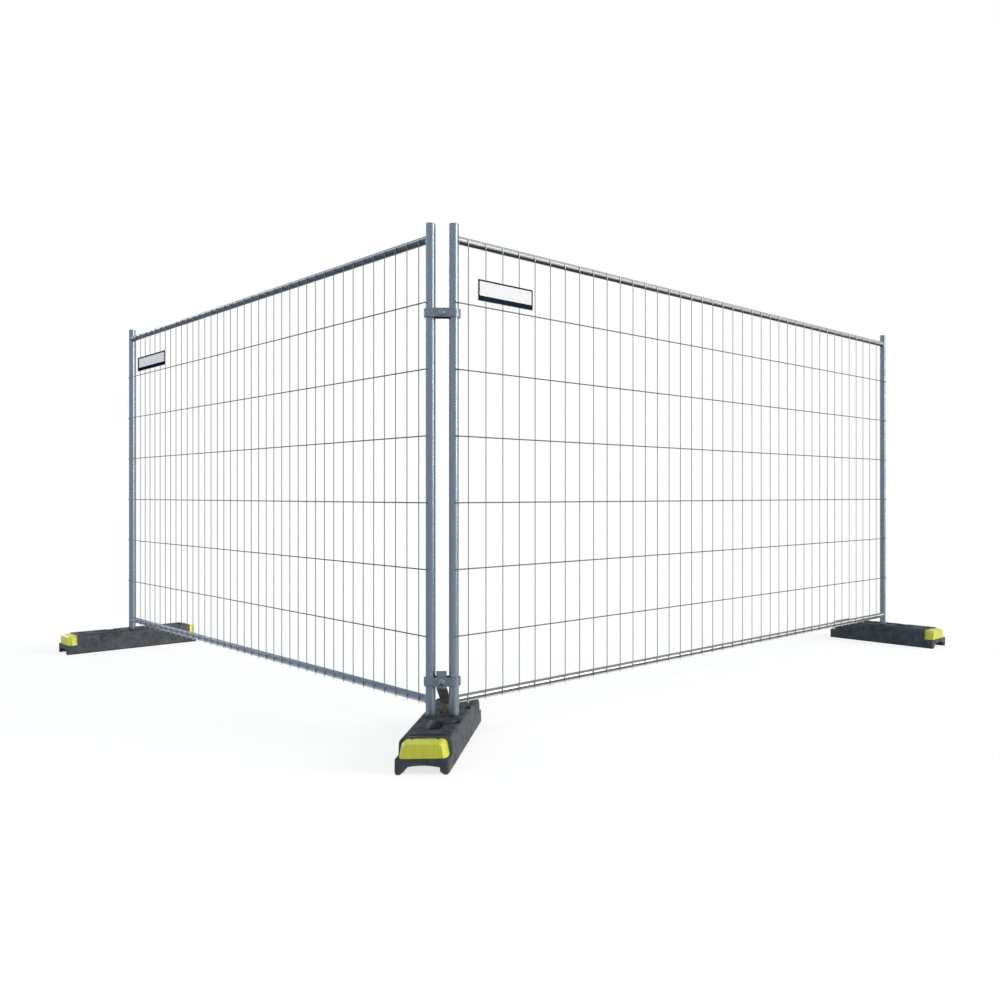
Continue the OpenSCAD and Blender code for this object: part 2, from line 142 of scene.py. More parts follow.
# Camera, placed from the middle between the corner posts
IMAGE_PX = 1000
FOCAL_PX = 931
PRINCIPAL_PX = (660.6, 494.1)
SENSOR_MM = 36
CAMERA_OFFSET = Vector((0.6946, -3.6699, 0.984))
CAMERA_YAW_DEG = 2.48
CAMERA_CLIP_END = 200


def joint_point(name):
    return Vector(JOINTS[name]["pos_m"])


class Panel:
    """One fence panel's own directions: along it from the corner post, outwards, and up."""

    def __init__(self, side):
        self.side = side
        self.body = f"{side}_panel"
        start = joint_point(f"{side}_panel_swing")
        end = joint_point(f"{side}_foot_swivel")
        run = Vector((end.x - start.x, end.y - start.y, 0))
        self.corner = Vector((start.x, start.y, 0))
        self.span = run.length
        self.along = run.normalized()
        self.outward = Vector((self.along.y, -self.along.x, 0)) * SIDES[side]

    def point(self, u, n, z):
        return self.corner + u * self.along + n * self.outward + Vector((0, 0, z))

    def local(self, point):
        offset = point - self.corner
        return Vector((offset.dot(self.along), offset.dot(self.outward), offset.z))

    def extent(self, node):
        """Lowest and highest (u, n, z) of a node."""
        points = [self.local(v.co) for v in NODES[node].data.vertices]
        low = Vector([min(p[k] for p in points) for k in range(3)])
        high = Vector([max(p[k] for p in points) for k in range(3)])
        return low, high

    def stations(self, node, axis, apart):
        """Middles of a node's separate bars along one axis, where they lie at least that far apart."""
        values = sorted(self.local(v.co)[axis] for v in NODES[node].data.vertices)
        groups = [[values[0]]]
        for value in values[1:]:
            if value - groups[-1][-1] > apart:
                groups.append([])
            groups[-1].append(value)
        return [(group[0] + group[-1]) / 2 for group in groups]

    def uprights(self):
        return self.stations(f"{self.side}_upright_wires", U, BARS_APART)

    def rail_z(self, level):
        return self.stations(f"{self.side}_{level}_rail", Z, ONE_BAR_APART)[0]


PANELS = {side: Panel(side) for side in SIDES}
CORNER = (PANELS["left"].corner + PANELS["right"].corner) / 2


# Materials, with the zinc tones first, from dark to bright; the rails and wires use them for painted shade,
# painted reflections and painted highlights
# Painted shade under the high rails
UNDERSIDE_SHADE = (0.018, 0.023, 0.031)
NAVY = (0.070, 0.095, 0.140)
LEAD = (0.085, 0.087, 0.090)
SLATE = (0.165, 0.218, 0.300)
DARK_SLATE = (0.110, 0.150, 0.215)
DULL_ZINC = (0.180, 0.190, 0.203)
# Painted reflection along the middle of the right high rail
REFLECTION_ZINC = (0.350, 0.372, 0.400)
PALE_ZINC = (0.540, 0.540, 0.535)
BRIGHT_ZINC = (0.720, 0.730, 0.740)


class Tree:
    """Short calls for building one material's nodes on its object's own coordinates."""

    def __init__(self, name, color, roughness, metallic=0.0, **sockets):
        self.material = bpy.data.materials.new(name)
        self.material.use_nodes = True
        self.material.diffuse_color = (*color, 1)
        self.nodes = self.material.node_tree.nodes
        self.links = self.material.node_tree.links
        self.shader = self.nodes["Principled BSDF"]
        self.coords = self.nodes.new("ShaderNodeTexCoord").outputs["Object"]
        self.set("Base Color", (*color, 1))
        self.set("Roughness", roughness)
        self.set("Metallic", metallic)
        for key, value in sockets.items():
            self.set(key.replace("_", " "), value)

    def feed(self, socket, value):
        if isinstance(value, bpy.types.NodeSocket):
            self.links.new(value, socket)
        else:
            socket.default_value = value

    def set(self, name, value):
        self.feed(self.shader.inputs[name], value)

    def add(self, kind, inputs, **settings):
        node = self.nodes.new("ShaderNode" + kind)
        for key, value in settings.items():
            setattr(node, key, value)
        for key, value in inputs.items():
            self.feed(node.inputs[key], value)
        return node

    def stretched(self, *scale):
        return self.add("Mapping", {"Vector": self.coords, "Scale": scale}).outputs["Vector"]

    def noise(self, scale, detail=4.0, vector=None):
        inputs = {"Vector": vector or self.coords, "Scale": scale, "Detail": detail, "Roughness": 0.6}
        return self.add("TexNoise", inputs).outputs["Fac"]

    def cells(self, scale, output):
        return self.add("TexVoronoi", {"Vector": self.coords, "Scale": scale}).outputs[output]

    def place(self, axis):
        return self.add("SeparateXYZ", {"Vector": self.coords}).outputs[axis]

    def height(self):
        return self.place("Z")

    def normal_part(self, axis):
        normal = self.nodes.new("ShaderNodeNewGeometry").outputs["Normal"]
        return self.add("SeparateXYZ", {"Vector": normal}).outputs[axis]

    def facing_up(self):
        """From 1 on top of a piece to -1 underneath it."""
        return self.normal_part("Z")

    def facing_front(self):
        return self.math("MULTIPLY", self.normal_part("Y"), -1.0)

    def remap(self, value, low, high, to_low=0.0, to_high=1.0):
        inputs = {"Value": value, "From Min": low, "From Max": high, "To Min": to_low, "To Max": to_high}
        return self.add("MapRange", inputs).outputs["Result"]

    def math(self, operation, a, b):
        return self.add("Math", {0: a, 1: b}, operation=operation).outputs[0]

    def ramp(self, value, *stops):
        node = self.add("ValToRGB", {"Fac": value})
        elements = node.color_ramp.elements
        while len(elements) < len(stops):
            elements.new(1.0)
        for element, (place, color) in zip(elements, stops):
            element.position = place
            element.color = (*color, 1)
        return node.outputs["Color"]

    def mix(self, factor, a, b):
        node = self.add("Mix", {}, data_type="RGBA")
        for index, value in ((0, factor), (6, a), (7, b)):
            if isinstance(value, tuple):
                value = (*value, 1)
            self.feed(node.inputs[index], value)
        return node.outputs[2]

    def bump(self, height, distance, strength):
        node = self.add("Bump", {"Height": height, "Distance": distance, "Strength": strength})
        self.set("Normal", node.outputs["Normal"])


def galvanised_tube():
    """Zinc-dipped post: faint spangle, dulled patches, runs, and darker over its lowest centimetres next to the
    foot.
    """
    t = Tree("galvanised_tube", (0.160, 0.206, 0.268), 0.27, metallic=0.45)
    spangle = t.ramp(t.cells(60, "Color"), (0.15, (0.150, 0.196, 0.256)), (0.85, (0.170, 0.218, 0.280)))
    patches = t.remap(t.noise(4), 0.40, 0.70)
    dulled = t.mix(patches, spangle, (0.172, 0.208, 0.250))
    runs = t.remap(t.noise(1, vector=t.stretched(90, 90, 5)), 0.56, 0.76, 0.0, 0.30)
    streaked = t.mix(runs, dulled, (0.205, 0.232, 0.266))
    # Darker over the lowest centimetres of the post, next to the foot
    darkening = t.remap(t.height(), FOOT_TOP + 0.017, FOOT_TOP + 0.005, 0.0, 0.85)
    t.set("Base Color", t.mix(darkening, streaked, (0.050, 0.054, 0.062)))
    t.set("Roughness", t.remap(t.noise(12), 0.3, 0.7, 0.24, 0.34))
    t.bump(t.noise(60), 0.0001, 0.03)
    return t.material


def rail_with_painted_light(name, metallic, tones):
    """Zinc-dipped rail with painted reflections and painted shade: a tone for each way its sides face, from -1
    underneath to 1 on top.
    """
    t = Tree(name, tones[len(tones) // 2][1], 0.32, metallic=metallic, Specular_IOR_Level=0.2)
    stops = [((place + 1) / 2, tone) for place, tone in tones]
    # Painted reflections and painted shade: bands of tone by the way each side faces
    painted_bands = t.ramp(t.remap(t.facing_up(), -1.0, 1.0), *stops)
    patches = t.remap(t.noise(4), 0.40, 0.70, 0.0, 0.12)
    t.set("Base Color", t.mix(patches, painted_bands, (0.172, 0.208, 0.250)))
    t.set("Roughness", t.remap(t.noise(12), 0.3, 0.7, 0.28, 0.40))
    t.bump(t.noise(60), 0.0001, 0.1)
    return t.material


def upright_wire():
    """Matte zinc wire that takes on the rails' painted reflection tones across them, with a painted highlight on
    its cut ends.
    """
    t = Tree("upright_wire", (0.130, 0.133, 0.138), 0.42, metallic=0.3)
    dull_and_reflected = t.ramp(t.noise(120), (0.35, (0.110, 0.113, 0.118)), (0.65, (0.150, 0.153, 0.158)))
    # Painted highlight on the wire's ends beyond the rails
    painted = 0.0
    on_right = t.remap(t.place("X"), -0.01, 0.01)
    top_reflection_tone = t.mix(on_right, SLATE, PALE_ZINC)
    top_highlight_start = t.math("MULTIPLY", on_right, 0.013)
    # The way out of the mesh at each rail, the rail's painted tone across it, and where the painted highlight
    # starts
    for level, outwards, tone, highlight_start in (
        ("top", 1.0, top_reflection_tone, top_highlight_start), ("bottom", -1.0, SLATE, 0.009),
    ):
        rail_z = PANELS["left"].rail_z(level)
        beyond = t.math("MULTIPLY", t.math("SUBTRACT", t.height(), rail_z), outwards)
        # Across each rail, the wire takes the rail's painted reflection tone
        across_rail = t.remap(t.math("ABSOLUTE", beyond, 0.0), 0.020, 0.014)
        dull_and_reflected = t.mix(across_rail, dull_and_reflected, tone)
        end = t.remap(t.math("SUBTRACT", beyond, highlight_start), 0.0, 0.003)
        painted = t.math("MAXIMUM", end, painted)
    t.set("Base Color", t.mix(painted, dull_and_reflected, BRIGHT_ZINC))
    t.set("Roughness", t.remap(t.noise(60), 0.3, 0.7, 0.36, 0.50))
    t.bump(t.noise(500), 0.0001, 0.4)
    return t.material


def cross_wire():
    """The same wire, darker, because its lines read darker in the photograph."""
    t = Tree("cross_wire", (0.062, 0.064, 0.068), 0.45, metallic=0.3)
    t.set("Base Color", t.ramp(t.noise(120), (0.35, (0.050, 0.052, 0.056)), (0.65, (0.074, 0.076, 0.080))))
    t.set("Roughness", t.remap(t.noise(60), 0.3, 0.7, 0.38, 0.52))
    t.bump(t.noise(500), 0.0001, 0.4)
    return t.material


def weld_zinc():
    """Weld metal under zinc paint: rougher and more mottled than the tube."""
    t = Tree("weld_zinc", (0.270, 0.285, 0.305), 0.55, metallic=0.3)
    t.set("Base Color", t.ramp(t.noise(350), (0.35, (0.225, 0.240, 0.262)), (0.7, (0.320, 0.335, 0.356))))
    t.set("Roughness", t.remap(t.noise(160), 0.3, 0.7, 0.46, 0.62))
    t.bump(t.noise(700), 0.0004, 0.7)
    return t.material


def plated_steel():
    """Pressed coupler steel: blotchy zinc plating, dark handling marks, and painted shade underneath and on the
    inside faces behind the posts.
    """
    t = Tree("plated_steel", (0.14, 0.175, 0.22), 0.36, metallic=0.5)
    blotches = t.ramp(t.noise(55, detail=6), (0.3, (0.095, 0.124, 0.164)), (0.7, (0.185, 0.225, 0.280)))
    marks = t.remap(t.noise(220, detail=2), 0.60, 0.72, 0.0, 0.5)
    marked = t.mix(marks, blotches, (0.060, 0.070, 0.085))
    # Painted shade: near black on undersides and on the rear plate's inside face behind the posts
    underside = t.remap(t.facing_up(), -0.5, -0.9)
    behind_posts = t.remap(t.place("Y"), CORNER.y, CORNER.y + 0.002)
    inside = t.math("MULTIPLY", behind_posts, t.remap(t.facing_front(), 0.5, 0.9))
    painted_shade = t.math("MULTIPLY", t.math("MAXIMUM", underside, inside), 0.9)
    t.set("Base Color", t.mix(painted_shade, marked, (0.010, 0.011, 0.013)))
    t.set("Roughness", t.remap(t.noise(90), 0.3, 0.7, 0.28, 0.46))
    t.bump(t.noise(420), 0.0002, 0.5)
    return t.material


def bolt_zinc():
    """Bright zinc plating on the bolts, nuts and washers, dulled in patches."""
    t = Tree("bolt_zinc", (0.19, 0.22, 0.26), 0.26, metallic=0.6)
    patches = t.ramp(t.noise(240, detail=5), (0.35, (0.08, 0.10, 0.13)), (0.65, (0.24, 0.27, 0.31)))
    t.set("Base Color", patches)
    t.set("Roughness", t.remap(t.noise(160), 0.3, 0.7, 0.18, 0.36))
    t.bump(t.noise(500), 0.0001, 0.4)
    return t.material


def strap_steel():
    """Mill-scale strap: grey where it lies in the coupler, olive brown below, and painted shade that takes it to
    black where it goes down into the foot.
    """
    t = Tree("strap_steel", (0.20, 0.19, 0.145), 0.5, metallic=0.25)
    scale = t.ramp(t.noise(70, detail=6), (0.35, (0.225, 0.218, 0.182)), (0.65, (0.480, 0.458, 0.370)))
    grey = t.ramp(t.noise(60), (0.35, (0.130, 0.150, 0.180)), (0.65, (0.220, 0.245, 0.280)))
    clamp_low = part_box("bottom_clamp_front")[0].z
    upper = t.remap(t.height(), clamp_low - 0.006, clamp_low)
    worn = t.mix(upper, scale, grey)
    # Painted shade, near black, where the strap goes down into the foot
    painted_shade_below = t.remap(t.height(), FOOT_TOP + 0.034, FOOT_TOP - 0.010, 0.0, 0.7)
    t.set("Base Color", t.mix(painted_shade_below, worn, (0.012, 0.012, 0.014)))
    t.set("Roughness", t.remap(t.noise(110), 0.3, 0.7, 0.40, 0.62))
    t.bump(t.noise(300), 0.0003, 0.6)
    return t.material


def recycled_plastic():
    """Charcoal recycled plastic: flecks, cloudy patches, dirt and painted shade on top, painted shade in recesses,
    dust low down.
    """
    t = Tree("recycled_plastic", (0.078, 0.086, 0.101), 0.66, IOR=1.48, Specular_IOR_Level=0.12)
    clouds = t.ramp(t.noise(16, detail=6), (0.36, (0.052, 0.059, 0.073)), (0.64, (0.106, 0.113, 0.128)))
    stains = t.remap(t.noise(34, detail=3), 0.54, 0.66, 0.0, 0.55)
    stained = t.mix(stains, clouds, (0.030, 0.034, 0.043))
    flecks = t.remap(t.noise(330, detail=2), 0.64, 0.71, 0.0, 0.7)
    speckled = t.mix(flecks, stained, (0.13, 0.134, 0.142))
    pits = t.remap(t.noise(240, detail=2), 0.36, 0.30, 0.0, 0.8)
    pitted = t.mix(pits, speckled, (0.016, 0.017, 0.020))
    # Dirt in patches and painted shade on the top faces
    upper = t.remap(t.facing_up(), 0.60, 0.95)
    darkening = t.math("MULTIPLY", upper, t.remap(t.noise(24, detail=5), 0.42, 0.60, 0.30, 0.90))
    dirt_and_shade_on_top = t.mix(darkening, pitted, (0.015, 0.018, 0.025))
    # Painted shade on the floors of the recesses in the top
    below_top = t.remap(t.height(), FOOT_TOP - 0.002, FOOT_TOP - 0.0035)
    above_ledges = t.remap(t.height(), FOOT_TOP - 0.016, FOOT_TOP - 0.014)
    sunken = t.math("MULTIPLY", below_top, above_ledges)
    in_recess = t.math("MULTIPLY", sunken, t.remap(t.facing_up(), 0.95, 0.99, 0.0, 0.85))
    recess_shade = t.mix(in_recess, dirt_and_shade_on_top, (0.006, 0.008, 0.011))
    low = t.remap(t.height(), 0.05, 0.0)
    dust = t.math("MULTIPLY", low, t.remap(t.noise(26), 0.40, 0.62, 0.0, 0.5))
    t.set("Base Color", t.mix(dust, recess_shade, (0.095, 0.096, 0.098)))
    t.set("Roughness", t.remap(t.noise(45), 0.3, 0.7, 0.56, 0.76))
    grain = t.math("ADD", t.noise(180, detail=6), t.math("MULTIPLY", t.noise(30), 1.5))
    t.bump(grain, 0.0008, 0.55)
    return t.material


def cap_plastic():
    """Fluorescent moulded cap with a fine prismatic grain and scuffs."""
    t = Tree("cap_plastic", (0.66, 0.65, 0.030), 0.34, IOR=1.49, Specular_IOR_Level=0.75)
    shade = t.ramp(t.noise(14), (0.3, (0.62, 0.615, 0.026)), (0.7, (0.70, 0.685, 0.034)))
    ribs = t.remap(t.noise(1, detail=2, vector=t.stretched(170, 170, 6)), 0.42, 0.62, 0.0, 0.45)
    ribbed = t.mix(ribs, shade, (0.50, 0.525, 0.024))
    scuffs = t.remap(t.noise(130, detail=7, vector=t.stretched(1, 1, 3)), 0.66, 0.74, 0.0, 0.5)
    t.set("Base Color", t.mix(scuffs, ribbed, (0.48, 0.48, 0.10)))
    t.set("Roughness", t.remap(t.noise(60), 0.3, 0.7, 0.28, 0.46))
    t.bump(t.cells(300, "Distance"), 0.0003, 0.3)
    return t.material


def plug_plastic():
    """Dull dark plastic of the post plugs."""
    t = Tree("plug_plastic", (0.05, 0.057, 0.065), 0.5)
    t.set("Base Color", t.ramp(t.noise(90), (0.3, (0.040, 0.046, 0.053)), (0.7, (0.066, 0.073, 0.082))))
    t.set("Roughness", t.remap(t.noise(200), 0.3, 0.7, 0.42, 0.6))
    t.bump(t.noise(600), 0.0001, 0.4)
    return t.material


def sign_white(name, white, coat):
    """White plate, cloudy by a little, with a clear coat of the given weight."""
    t = Tree(name, white, 0.5, Specular_IOR_Level=0.2,
             Coat_Weight=coat, Coat_Roughness=0.2, Coat_IOR=1.9)
    low, high = [tuple(share * part for part in white) for share in (0.98, 1.02)]
    t.set("Base Color", t.ramp(t.noise(25), (0.3, low), (0.7, high)))
    t.set("Roughness", t.remap(t.noise(70), 0.3, 0.7, 0.44, 0.56))
    t.bump(t.noise(35), 0.0003, 0.2)
    return t.material


def sign_ink():
    """Flat navy ink of a sign's border and band."""
    t = Tree("sign_ink", (0.012, 0.020, 0.040), 0.7, Specular_IOR_Level=0.0)
    t.set("Base Color", t.ramp(t.noise(60), (0.3, (0.010, 0.017, 0.035)), (0.7, (0.014, 0.023, 0.046))))
    t.set("Roughness", t.remap(t.noise(150), 0.3, 0.7, 0.62, 0.78))
    return t.material


def tie_nylon():
    """Milky nylon of the cable ties."""
    t = Tree("tie_nylon", (0.66, 0.66, 0.63), 0.40)
    t.set("Base Color", t.ramp(t.noise(300), (0.3, (0.60, 0.60, 0.57)), (0.7, (0.70, 0.70, 0.67))))
    t.set("Roughness", t.remap(t.noise(400), 0.3, 0.7, 0.32, 0.48))
    return t.material


# Rails with painted reflections and painted shade, unlike each other: painted shade under the high ones, bright
# painted reflection strips, and pale painted undersides near the ground. Each has its share of bare metal, and its
# tones from below to above.
RAILS = {
    "left_top_rail": (0.15, (
        (-0.85, UNDERSIDE_SHADE), (-0.50, NAVY), (-0.12, NAVY), (0.04, SLATE),
        (0.14, BRIGHT_ZINC), (0.36, PALE_ZINC), (0.52, DARK_SLATE),
    )),
    "right_top_rail": (0.15, (
        (-0.75, UNDERSIDE_SHADE), (-0.58, UNDERSIDE_SHADE), (-0.38, REFLECTION_ZINC), (0.70, REFLECTION_ZINC), (0.94, DULL_ZINC),
    )),
    "left_bottom_rail": (0.45, (
        (-0.82, DULL_ZINC), (-0.64, PALE_ZINC), (-0.24, PALE_ZINC),
        (-0.10, SLATE), (0.30, SLATE), (0.70, DARK_SLATE),
    )),
    "right_bottom_rail": (0.45, (
        (-0.50, BRIGHT_ZINC), (-0.34, LEAD), (0.14, LEAD),
        (0.28, PALE_ZINC), (0.56, PALE_ZINC), (0.70, DULL_ZINC),
    )),
}

MATERIALS = {
    "galvanised_tube": galvanised_tube(),
    "galvanised_wire": upright_wire(),
    "cross_wire": cross_wire(),
    "weld_zinc": weld_zinc(),
    "bolt_zinc": bolt_zinc(),
    "plated_steel": plated_steel(),
    "strap_steel": strap_steel(),
    "recycled_plastic": recycled_plastic(),
    "cap_plastic": cap_plastic(),
    "plug_plastic": plug_plastic(),
    "sign_plastic": sign_white("sign_white", (0.775, 0.775, 0.800), 0.0),
    # Left sign: the same white plate set brighter, as painted light for its shaded side, with a clear coat
    "sign_white_painted_light": sign_white("sign_white_painted_light", (0.92, 0.91, 0.90), 1.0),
    "sign_ink": sign_ink(),
    "tie_nylon": tie_nylon(),
}
MATERIALS.update({rail: rail_with_painted_light(rail, *finish) for rail, finish in RAILS.items()})

# Nodes with a finish of their own within their slot
OWN_FINISHES = {f"{side}_cross_wires": "cross_wire" for side in SIDES}
OWN_FINISHES.update({f"{level}_clamp_washer": "bolt_zinc" for level in LEVELS})
OWN_FINISHES["left_sign_plate"] = "sign_white_painted_light"
OWN_FINISHES.update({rail: rail for rail in RAILS})


def dress_nodes():
    """Every node of the frame takes the material of its slot, or its own finish."""
    for row in frame["record"]["subparts"]:
        mesh = NODES[row["node"]].data
        mesh.materials.clear()
        mesh.materials.append(MATERIALS[OWN_FINISHES.get(row["node"], row["material_slot"])])


def soften(node, width, segments=2, angle_deg=35):
    """Rounds a node's hard edges a little, as moulded, pressed and cut edges are."""
    shape = NODES[node]
    weld = shape.modifiers.new("weld", "WELD")
    weld.merge_threshold = 1e-5
    bevel = shape.modifiers.new("edges", "BEVEL")
    bevel.width = width
    bevel.segments = segments
    bevel.limit_method = "ANGLE"
    bevel.angle_limit = math.radians(angle_deg)
    shape.modifiers.new("shading", "WEIGHTED_NORMAL")


# Meshes
def piece(name, mesh, body, material):
    """Links a bmesh as a piece that rides on a body."""
    bmesh.ops.recalc_face_normals(mesh, faces=mesh.faces)
    data = bpy.data.meshes.new(name)
    mesh.to_mesh(data)
    mesh.free()
    shape = bpy.data.objects.new(name, data)
    bpy.context.scene.collection.objects.link(shape)
    data.materials.append(MATERIALS[material])
    data.shade_smooth()
    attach(shape, body)
    return shape


def sharpen(shape, angle_deg=35):
    """Keeps edges steeper than the angle crisp on a smooth-shaded piece."""
    shape.data.set_sharp_from_angle(angle=math.radians(angle_deg))


def grid(mesh, rings, closed_path=False):
    """Skins closed rings of points with quads, and joins the last ring to the first on a closed path."""
    rows = [[mesh.verts.new(p) for p in ring] for ring in rings]
    count = len(rows[0])
    pairs = list(zip(rows, rows[1:] + rows[:1]))
    for a, b in pairs if closed_path else pairs[:-1]:
        for k in range(count):
            following = (k + 1) % count
            mesh.faces.new((a[k], a[following], b[following], b[k]))
    return rows


def capped_grid(mesh, rings):
    """Skins rings of points and closes both ends."""
    rows = grid(mesh, rings)
    mesh.faces.new(list(reversed(rows[0])))
    mesh.faces.new(rows[-1])


def round_turns(count):
    """Equal steps round a circle."""
    return [2 * math.pi * k / count for k in range(count)]


def nugget(mesh, panel, place, half_axes):
    """A small weld blob at a panel's (u, n, z)."""
    centre = panel.point(*place)
    a, b, c = [way * size for way, size in zip((panel.along, panel.outward, Vector((0, 0, 1))), half_axes)]
    rows = []
    for i in range(1, NUGGET_RINGS):
        polar = math.pi * i / NUGGET_RINGS
        level = centre + c * math.cos(polar)
        rows.append([
            level + (a * math.cos(turn) + b * math.sin(turn)) * math.sin(polar)
            for turn in round_turns(NUGGET_SEGMENTS)
        ])
    capped_grid(mesh, rows)


def wire_welds(panel):
    """Spot welds where the wires cross each other, the rails and the posts."""
    crosses = panel.stations(f"{panel.side}_cross_wires", Z, BARS_APART)
    rails = [panel.rail_z(level) for level in LEVELS]
    upright_low, upright_high = panel.extent(f"{panel.side}_upright_wires")
    cross_low, _ = panel.extent(f"{panel.side}_cross_wires")
    mesh = bmesh.new()
    for u in panel.uprights():
        for z in crosses:
            nugget(mesh, panel, (u, upright_high.y, z), CROSSING_NUGGET)
        for z in rails:
            nugget(mesh, panel, (u, upright_low.y, z), RAIL_NUGGET)
    for u in (0, panel.span):
        for z in crosses:
            nugget(mesh, panel, (u, cross_low.y, z), POST_NUGGET)
    piece(f"{panel.side}_wire_welds", mesh, panel.body, "weld_zinc")


def rail_welds(panel):
    """Rippled weld beads round the coped ends of the rails."""
    steps, sides = 72, 8
    mesh = bmesh.new()
    for level in LEVELS:
        rail_z = panel.rail_z(level)
        for end, inward in ((0, 1), (panel.span, -1)):
            rings = []
            for turn in round_turns(steps):
                across, rise = RAIL_R * math.cos(turn), RAIL_R * math.sin(turn)
                reach = math.sqrt(POST_R ** 2 - across ** 2)
                centre = panel.point(end + inward * reach, across, rail_z + rise)
                from_rail = panel.outward * math.cos(turn) + Vector((0, 0, math.sin(turn)))
                from_rail.normalize()
                from_post = panel.along * inward
                ripple = BEAD_RIPPLE * math.sin(BEAD_RIPPLES * turn)
                wander = BEAD_WANDER * noise.noise(centre * BEAD_WANDER_SCALE)
                radius = BEAD_R * (1 + ripple + wander)
                rings.append([
                    centre + radius * (from_rail * math.cos(a) + from_post * math.sin(a))
                    for a in round_turns(sides)
                ])
            grid(mesh, rings, closed_path=True)
    piece(f"{panel.side}_rail_welds", mesh, panel.body, "weld_zinc")


def plate_of(panel, corners, n_low, n_high, mesh):
    """A thin plate on the panel's plane with its outline in (u, z)."""
    capped_grid(mesh, [[panel.point(u, n, z) for u, z in corners] for n in (n_low, n_high)])


def sign_facing(panel):
    """A plain sign: a thin dark border and a bare dark band along the foot of the white plate."""
    low, high = panel.extent(f"{panel.side}_sign_plate")
    u0, u1 = low.x + SIGN_BORDER_INSET, high.x - SIGN_BORDER_INSET
    z0, z1 = low.z + SIGN_BORDER_INSET, high.z - SIGN_BORDER_INSET
    band_top = low.z + SIGN_BAND_SHARE * (high.z - low.z)
    face, proud = high.y - INK_T / 2, high.y + INK_T
    upright, level = SIGN_BORDERS[panel.side]
    strips = [
        [(u0, z0), (u1, z0), (u1, band_top), (u0, band_top)],
        [(u0, z1 - level), (u1, z1 - level), (u1, z1), (u0, z1)],
        [(u0, band_top), (u0 + upright, band_top), (u0 + upright, z1 - level), (u0, z1 - level)],
        [(u1 - upright, band_top), (u1, band_top), (u1, z1 - level), (u1 - upright, z1 - level)],
    ]
    mesh = bmesh.new()
    for corners in strips:
        plate_of(panel, corners, face, proud, mesh)
    shape = piece(f"{panel.side}_sign_facing", mesh, panel.body, "sign_ink")
    sharpen(shape)


def cable_ties(panel):
    """Nylon ties that hold the sign plate to the upright wires behind it."""
    low, high = panel.extent(f"{panel.side}_sign_plate")
    wire_low, _ = panel.extent(f"{panel.side}_upright_wires")
    first, last = low.x + TIE_SIDE_MARGIN, high.x - TIE_SIDE_MARGIN
    behind = [u for u in panel.uprights() if first < u < last]
    lower = low.z + SIGN_BAND_SHARE * (high.z - low.z) + TIE_BAND_MARGIN
    upper = high.z - TIE_TOP_MARGIN
    front, back = high.y + TIE_T, wire_low.y - TIE_T
    mesh = bmesh.new()
    for u in (behind[0], behind[-1]):
        head_u0, head_u1 = [u + TIE_REACH + part for part in TIE_HEAD_SPAN]
        for z in (lower, upper):
            path = round_loop(u, (front + back) / 2, TIE_REACH, (front - back) / 2, TIE_CORNER_R)
            rings = []
            for (pu, pn), (du, dn) in path:
                rings.append([
                    panel.point(pu + du * s * TIE_T / 2, pn + dn * s * TIE_T / 2, z + t * TIE_HALF_W)
                    for s, t in ((-1, -1), (1, -1), (1, 1), (-1, 1))
                ])
            grid(mesh, rings, closed_path=True)
            head_z0, head_z1 = z - TIE_HEAD_HALF_H, z + TIE_HEAD_HALF_H
            head = [(head_u0, head_z0), (head_u1, head_z0), (head_u1, head_z1), (head_u0, head_z1)]
            plate_of(panel, head, back + TIE_HEAD_DEPTH[0], back + TIE_HEAD_DEPTH[1], mesh)
    shape = piece(f"{panel.side}_sign_ties", mesh, panel.body, "tie_nylon")
    sharpen(shape, 50)


def round_loop(cu, cn, half_u, half_n, r, steps=4):
    """Points and outward directions round a rectangle with round corners."""
    loop = []
    for quarter, (su, sn) in enumerate(((1, 1), (-1, 1), (-1, -1), (1, -1))):
        for k in range(steps + 1):
            a = math.pi / 2 * (quarter + k / steps)
            du, dn = math.cos(a), math.sin(a)
            point = (cu + su * (half_u - r) + r * du, cn + sn * (half_n - r) + r * dn)
            loop.append((point, (du, dn)))
    return loop


def turned(mesh, centre, profile, segments=48):
    """A solid of revolution about Y from (y, radius) points."""
    rings = []
    for y, radius in profile:
        rings.append([
            centre + Vector((radius * math.cos(a), y, radius * math.sin(a)))
            for a in round_turns(segments)
        ])
    capped_grid(mesh, rings)


